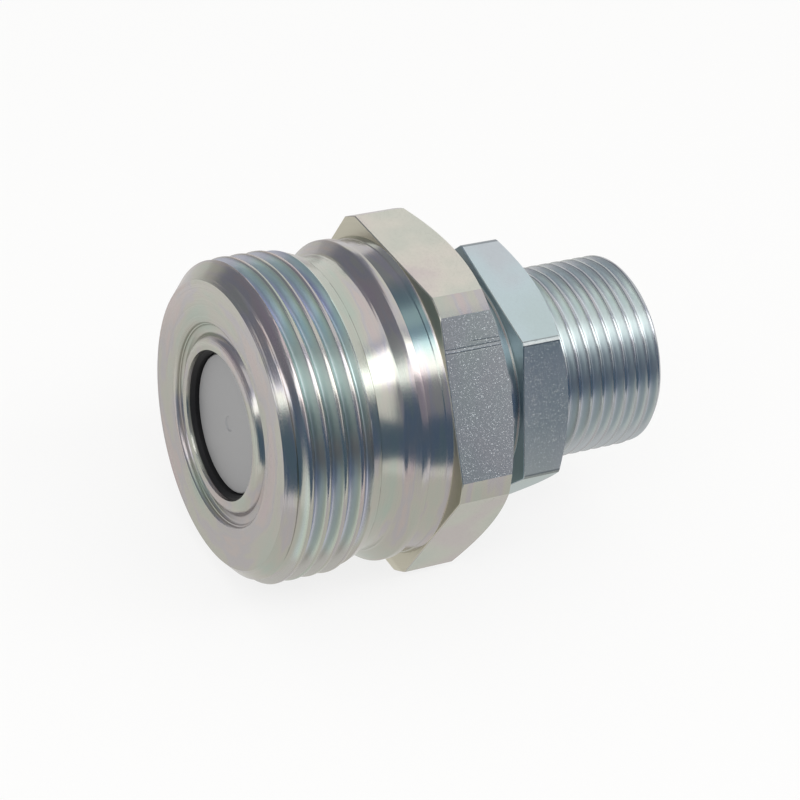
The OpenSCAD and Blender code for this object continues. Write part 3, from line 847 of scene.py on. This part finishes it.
class PortAdapterOperator(bpy.types.Operator):
    """Builds the port adapter, with its small hexagon, port thread and pipe cone"""
    bl_idname = "coupling.adapter"
    bl_label = "Port adapter"

    def execute(self, context):
        z = context.scene.coupling_adapter
        end = z.length
        chamfer = 0.6 * MM
        pipe_start = end - PIPE_DEPTH
        cone = (z.cone_r - z.pipe_r) / tan(PIPE_CONE)

        def limit(s):
            return min(z.thread_r, z.thread_r - chamfer + max(end - s, 0))

        bm = bmesh.new()
        thread_sheet(bm, z, z.hex_end + z.crest, z.hex_end, end, limit,
                     fade_end=2 * end, marks=16)
        outline = [
            (end, z.thread_r - chamfer - z.pitch / 3), (end, z.cone_r + FINE),
            (end - FINE / 2, z.cone_r), (end - cone, z.pipe_r), (pipe_start, z.pipe_r),
            (pipe_start, z.flow_r), (FLOW_START, z.flow_r), (NOSE_BORE_END, z.nose_bore_r),
            (NOSE_START + FINE, z.nose_bore_r), (NOSE_START, z.nose_bore_r + FINE),
            (NOSE_START, NOSE_R - 2 * EDGE), *stepped(NOSE_STEPS),
            (SHOULDER, z.shoulder_r - FINE), (SHOULDER + FINE, z.shoulder_r),
            (z.hex_start - EDGE, z.shoulder_r), (z.hex_start, z.shoulder_r + EDGE),
        ]
        first = len(outline) + 1
        hex_face_r = z.thread_r + 1.5 * FINE
        outline += hexagon_outline(z) + [
            (z.hex_end, hex_face_r + EDGE), (z.hex_end, hex_face_r)]
        row = turned(bm, outline, False)
        hexagon(bm, z, row, first, z.hex_turn)
        for station, between, high in (
                (z.hex_end, z.thread_r + FINE / 2, z.flat_r),
                (end, z.thread_r - chamfer - z.pitch / 4 - FINE, z.thread_r)):
            bridge(bm, rim(bm, station, 0, between), rim(bm, station, between, high))
        mark_flats(bm, z, z.hex_start + FINE, z.hex_turn, 0.2 * MM)
        piece("port_adapter_turned", bm, ["adapter turned", "adapter flats"], "housing",
              ["port_adapter"])
        return {"FINISHED"}


class ValveOperator(bpy.types.Operator):
    """Builds the valve poppet with its flat head, flange and stem"""
    bl_idname = "coupling.valve"
    bl_label = "Valve poppet"

    def execute(self, context):
        z = context.scene.coupling_valve
        fine = 0.08 * MM
        dimple_r, dimple_depth = 0.9 * MM, 0.12 * MM
        bevel = 0.4 * MM
        bm = bmesh.new()
        outline = [
            (z.recess + dimple_depth, HAIR), (z.recess + dimple_depth, dimple_r - 2 * fine),
            (z.recess + fine / 2, dimple_r - fine / 2), (z.recess, dimple_r),
            (z.recess, z.head_r - 2.5 * fine), (z.recess + fine, z.head_r - fine),
            (z.recess + 2.5 * fine, z.head_r), (z.head_end, z.head_r), (z.head_end, z.groove_r),
            (z.flange_start, z.groove_r), (z.flange_start, z.flange_r - fine),
            (z.flange_start + fine, z.flange_r), (z.flange_end - bevel, z.flange_r),
            (z.flange_end, z.flange_r - bevel), (z.flange_end, z.stem_r + bevel),
            (z.flange_end + bevel, z.stem_r), (z.stem_end - bevel, z.stem_r),
            (z.stem_end, z.stem_r - bevel), (z.stem_end, HAIR),
        ]
        turned(bm, outline, False)
        bmesh.ops.holes_fill(bm, edges=[e for e in bm.edges if e.is_boundary])
        piece("valve_poppet_turned", bm, ["valve steel"], "valve", ["valve_poppet"])
        return {"FINISHED"}


class MouthSealOperator(bpy.types.Operator):
    """Builds the rubber ring at the mouth, with its wiping lip"""
    bl_idname = "coupling.mouth_seal"
    bl_label = "Mouth seal"

    def execute(self, context):
        z = context.scene.coupling_valve
        start, end = LIP, 2.7 * MM
        inner = z.head_r + 0.06 * MM
        lip_round = 0.16 * MM
        corner = 0.12 * MM
        bm = bmesh.new()
        outline = [
            *arc((start + lip_round, inner + 0.36 * MM), lip_round, 180, 225, 3),
            (start + 0.4 * MM, inner), (end, inner), (end, z.seal_r),
            (start + corner, z.seal_r), (start, z.seal_r - corner),
        ]
        turned(bm, outline, True)
        piece("mouth_seal_ring", bm, ["seal rubber"], "housing", ["mouth_seal"])
        return {"FINISHED"}


class SpringOperator(bpy.types.Operator):
    """Winds the valve spring, with a closed turn at each end"""
    bl_idname = "coupling.spring"
    bl_label = "Valve spring"

    def execute(self, context):
        z = context.scene.coupling_valve
        sides = 14
        wind = 48
        gap = 0.01 * MM
        open_turns = 4
        closed = 1.03 * 2 * z.wire_r
        climb = z.spring_length - 2 * z.wire_r - 2 * gap
        open_pitch = (climb - 2 * closed) / open_turns
        bm = bmesh.new()
        made = bmesh.ops.create_circle(bm, cap_ends=True, radius=z.wire_r, segments=sides)
        start = Vector((z.spring_start + z.wire_r + gap, 0, -z.spring_r))
        bmesh.ops.rotate(bm, verts=made["verts"], cent=(0, 0, 0),
                         matrix=Matrix.Rotation(pi / 2, 3, "X"))
        bmesh.ops.translate(bm, verts=made["verts"], vec=start)
        last = bm.faces[:]
        for turns, pitch in ((1, closed), (open_turns, open_pitch), (1, closed)):
            grown = spin(bm, last, pitch, turns, wind)
            last = [g for g in grown["geom_last"] if isinstance(g, bmesh.types.BMFace)]
        spring = piece("valve_spring_wound", bm, ["drawn wire"], "housing", ["valve_spring"])
        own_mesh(spring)
        return {"FINISHED"}


class InnerPartsOperator(bpy.types.Operator):
    """Gives the guide, the ring seals and the support rings their finishes"""
    bl_idname = "coupling.inner_parts"
    bl_label = "Inner parts"

    def execute(self, context):
        for node, name in (
                ("valve_guide", "guide steel"), ("valve_ring_seal", "seal rubber"),
                ("joint_ring_seal", "seal rubber"), ("mouth_support_ring", "ring plastic"),
                ("joint_support_ring", "ring plastic")):
            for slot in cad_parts[node].material_slots:
                slot.material = finish(name)
        return {"FINISHED"}


# Stage

CAMERA_PLACE = (-0.12165, -0.22915, 0.17546)
CAMERA_RIGHT = (0.88421, -0.45540, 0.10380)
CAMERA_UP = (0.17200, 0.52409, 0.83411)
CAMERA_FORWARD = (0.43426, 0.71968, -0.54174)
CAMERA_LENS = 130.03
CAMERA_SHIFT = (0.05415, -0.02918)
SENSOR_WIDTH = 36
CLIP_START = 0.01

FLOOR_HALF = 3
KEY_PLACE, KEY_AIM, KEY_SIZE = (-0.3, -0.279, 0.415), (-0.3, 0, 0), (3.4, 0.214)
# Casts of light
DEEP = (0.66, 1.02, 1.50)
COOL = (0.95, 1.0, 1.18)
WARM = (1.0, 0.99, 0.97)
# Half the width of the wall behind the camera, its place, and where its two tones meet and end
WIDE, NEAR, WAIST, TOP = 2.5, 1.3, 0.39, 2.1
# Places to the left and right, and where the right wall ends at the back
LEFT, RIGHT, RIGHT_END = -1.2, 1.7, -0.6
# The left wall's two ends and top, and the back left wall's end
LEFT_NEAR, LEFT_BACK, LEFT_TOP, BACK = 0.75, -1.1, 1.2, -2.8
# The ceiling's height, back end and the slant of its right side
CEILING, CEILING_BACK, CEILING_SLANT = 0.9, -1.7, -0.14
# The pale table under the part, and the brighter floor behind it, on which a card paints the part's
# shadow
TABLE_NEAR, TABLE_RIGHT = 0.049, 0.095
SHADE_NEAR, SHADE_BACK, SHADE_LEFT, SHADE_RIGHT = -0.045, -0.35, -0.2, 0.3
# Corners, seen from above in the frame, of the card over the part and of the one under it, which
# paints the part's shadow on the floor
TOP_CARD = (-1.6, -0.36), (1.6, -0.18)
UNDER_SHADOW_CARD = (-0.022, -0.05), (0.12, 0.05)


def plate(name, corners, material):
    """A flat stage piece between four corners."""
    bm = bmesh.new()
    bmesh.ops.create_grid(bm, x_segments=1, y_segments=1, size=0.5)
    for v in bm.verts:
        u, w = v.co.x + 0.5, v.co.y + 0.5
        shares = ((1 - u) * (1 - w), u * (1 - w), u * w, (1 - u) * w)
        v.co = sum((Vector(c) * share for c, share in zip(corners, shares)), Vector())
    mesh = bpy.data.meshes.new(name)
    bm.to_mesh(mesh)
    bm.free()
    mesh.materials.append(material)
    obj = bpy.data.objects.new(name, mesh)
    bpy.context.scene.collection.objects.link(obj)
    return obj


def room(right, near, height):
    """A point of the studio, so far to the camera's right, toward the camera and up."""
    x, y = CAMERA_FORWARD[0], CAMERA_FORWARD[1]
    reach = hypot(x, y)
    return ((right * y - near * x) / reach, (-right * x - near * y) / reach, height)


def wall(first, last, low, high):
    """Corners of a wall of the studio between two places (right, near) and two heights."""
    return [room(*first, low), room(*last, low), room(*last, high), room(*first, high)]


def around(first, last):
    """The four corners of a rectangle, given two of them."""
    return first, (last[0], first[1]), last, (first[0], last[1])


def level(first, last, height):
    """Corners of a level card of the studio between two places (right, near)."""
    return [room(*place, height) for place in around(first, last)]


def level_in_frame(first, last, height):
    """Corners of a level card between two places (x, y) of the frame."""
    return [(*place, height) for place in around(first, last)]


def glow(name, light):
    """A plain glowing stage finish."""
    nodes = Nodes(bpy.data.materials.new(name))
    shine = nodes.add("ShaderNodeEmission", None, {"Color": (*light, 1)})
    nodes.add("ShaderNodeOutputMaterial", None, {"Surface": shine}, None)
    return nodes.owner


def white_share(nodes, kind, share, plain_shader):
    """A plain shader that turns to plain white by a share."""
    white = nodes.add(kind, None, {"Color": (1, 1, 1, 1), "Strength": 1.0})
    return nodes.add("ShaderNodeMixShader", None, {0: share, 1: plain_shader, 2: white})


def floor_finish(whiteness):
    """Pale floor that shows white to the camera and in the metal, and keeps the shadow."""
    nodes = Nodes(bpy.data.materials.new("pale floor"))
    cloth = nodes.add("ShaderNodeBsdfDiffuse", None, {"Color": (0.82, 0.82, 0.81, 1)})
    shader = white_share(nodes, "ShaderNodeEmission", nodes.seen() * whiteness, cloth)
    nodes.add("ShaderNodeOutputMaterial", None, {"Surface": shader}, None)
    return nodes.owner


def white_world(strength):
    """World that lights the part softly, and is white to the camera and in the metal."""
    nodes = Nodes(bpy.data.worlds.new("studio"))
    soft = nodes.add("ShaderNodeBackground", None, {"Color": (*WARM, 1), "Strength": strength})
    shader = white_share(nodes, "ShaderNodeBackground", nodes.seen(), soft)
    nodes.add("ShaderNodeOutputWorld", None, {"Surface": shader}, None)
    bpy.context.scene.world = nodes.owner


def soft_lamp(name, middle, aim, size, power):
    """An area lamp that points from its middle to aim, long side level."""
    data = bpy.data.lights.new(name, "AREA")
    data.shape = "RECTANGLE"
    data.size, data.size_y = size
    data.energy = power
    obj = bpy.data.objects.new(name, data)
    bpy.context.scene.collection.objects.link(obj)
    obj.location = middle
    obj.rotation_euler = (Vector(aim) - Vector(middle)).to_track_quat("-Z", "Y").to_euler()
    return obj


class StageOperator(bpy.types.Operator):
    """Sets up the floor, the lamps, the reflection cards and the camera"""
    bl_idname = "coupling.stage"
    bl_label = "Stage"

    def execute(self, context):
        z = context.scene.coupling_stage
        scene = context.scene
        ground = CAD_BOX[0][2]
        plate("floor", level_in_frame((-FLOOR_HALF,) * 2, (FLOOR_HALF,) * 2, ground),
              floor_finish(z.floor_white))
        above = ground + MM
        ceiling = ((0, 0), (CEILING_SLANT, CEILING_BACK), (LEFT, CEILING_BACK), (LEFT, 0))
        for name, corners, brightness, cast in (
                ("low_card", wall((-WIDE, NEAR), (WIDE, NEAR), ground, WAIST),
                 z.dark_card, DEEP),
                ("high_card", wall((-WIDE, NEAR), (WIDE, NEAR), WAIST, TOP), z.grey_card, COOL),
                ("front_apron", level((-WIDE, TABLE_NEAR), (WIDE, NEAR), above),
                 z.dark_card, DEEP),
                ("right_apron", level((TABLE_RIGHT, RIGHT_END), (RIGHT, TABLE_NEAR), above),
                 z.dark_card, DEEP),
                ("right_card", wall((RIGHT, RIGHT_END), (RIGHT, NEAR), ground, WAIST),
                 z.dark_card, DEEP),
                ("left_card", wall((LEFT, LEFT_BACK), (LEFT, LEFT_NEAR), ground, LEFT_TOP),
                 z.left_card, COOL),
                ("ceiling_card", [room(*place, CEILING) for place in ceiling],
                 z.grey_card, COOL),
                ("back_left_card", wall((LEFT, BACK), (LEFT, LEFT_BACK), ground, CEILING),
                 z.back_card, WARM),
                ("back_floor_card", level((LEFT, BACK), (SHADE_RIGHT, SHADE_BACK), above),
                 z.back_card, WARM),
                # The near floor and under cards are painted shadow: the part's shadow on the floor,
                # seen only in the metal
                ("near_floor_shadow_card",
                 level((SHADE_LEFT, SHADE_BACK), (SHADE_RIGHT, SHADE_NEAR), above),
                 z.shade_card, WARM),
                ("top_card", level_in_frame(*TOP_CARD, CEILING), z.top_card, COOL),
                ("under_shadow_card", level_in_frame(*UNDER_SHADOW_CARD, above), z.shade_card, WARM)):
            card = plate(name, corners, glow(name, [brightness * c for c in cast]))
            for ray in ("camera", "diffuse", "transmission", "shadow"):
                setattr(card, f"visible_{ray}", False)
        soft_lamp("key_lamp", KEY_PLACE, KEY_AIM, KEY_SIZE, z.key_power)
        white_world(z.world_strength)
        scene.view_settings.view_transform = "Standard"
        data = bpy.data.cameras.new("camera")
        data.sensor_width = SENSOR_WIDTH
        data.lens = CAMERA_LENS
        data.shift_x, data.shift_y = CAMERA_SHIFT
        data.clip_start = CLIP_START
        camera = bpy.data.objects.new("camera", data)
        scene.collection.objects.link(camera)
        turned_axes = Matrix((CAMERA_RIGHT, CAMERA_UP, [-c for c in CAMERA_FORWARD])).transposed()
        camera.matrix_world = Matrix.Translation(CAMERA_PLACE) @ turned_axes.to_4x4()
        scene.camera = camera
        return {"FINISHED"}


# Add-on

OPERATORS = (
    CouplingBodyOperator, PortAdapterOperator, ValveOperator, MouthSealOperator, SpringOperator,
    InnerPartsOperator, StageOperator)
GROUPS = {
    "coupling_body": CouplingBodySizes,
    "coupling_adapter": PortAdapterSizes,
    "coupling_valve": ValveSizes,
    "coupling_colours": FinishColours,
    "coupling_stage": StageSizes,
}


class CouplingPanel(bpy.types.Panel):
    """Lists the pieces of the coupling and their sizes"""
    bl_idname = "VIEW3D_PT_coupling"
    bl_label = "Coupling"
    bl_space_type = "VIEW_3D"
    bl_region_type = "UI"
    bl_category = "Coupling"

    def draw(self, context):
        for operator in OPERATORS:
            self.layout.operator(operator.bl_idname)
        for name in GROUPS:
            group = getattr(context.scene, name)
            box = self.layout.box()
            for field in group.bl_rna.properties.keys():
                if field not in ("rna_type", "name"):
                    box.prop(group, field)


def register():
    for name, group in GROUPS.items():
        bpy.utils.register_class(group)
        setattr(bpy.types.Scene, name, bpy.props.PointerProperty(type=group))
    for each in (*OPERATORS, CouplingPanel):
        bpy.utils.register_class(each)


def unregister():
    for each in (CouplingPanel, *reversed(OPERATORS)):
        bpy.utils.unregister_class(each)
    for name, group in reversed(GROUPS.items()):
        delattr(bpy.types.Scene, name)
        bpy.utils.unregister_class(group)


def main():
    register()
    for step in (
            bpy.ops.coupling.stage, bpy.ops.coupling.body, bpy.ops.coupling.adapter,
            bpy.ops.coupling.valve, bpy.ops.coupling.mouth_seal, bpy.ops.coupling.spring,
            bpy.ops.coupling.inner_parts):
        step()


if __name__ == "__main__":
    main()
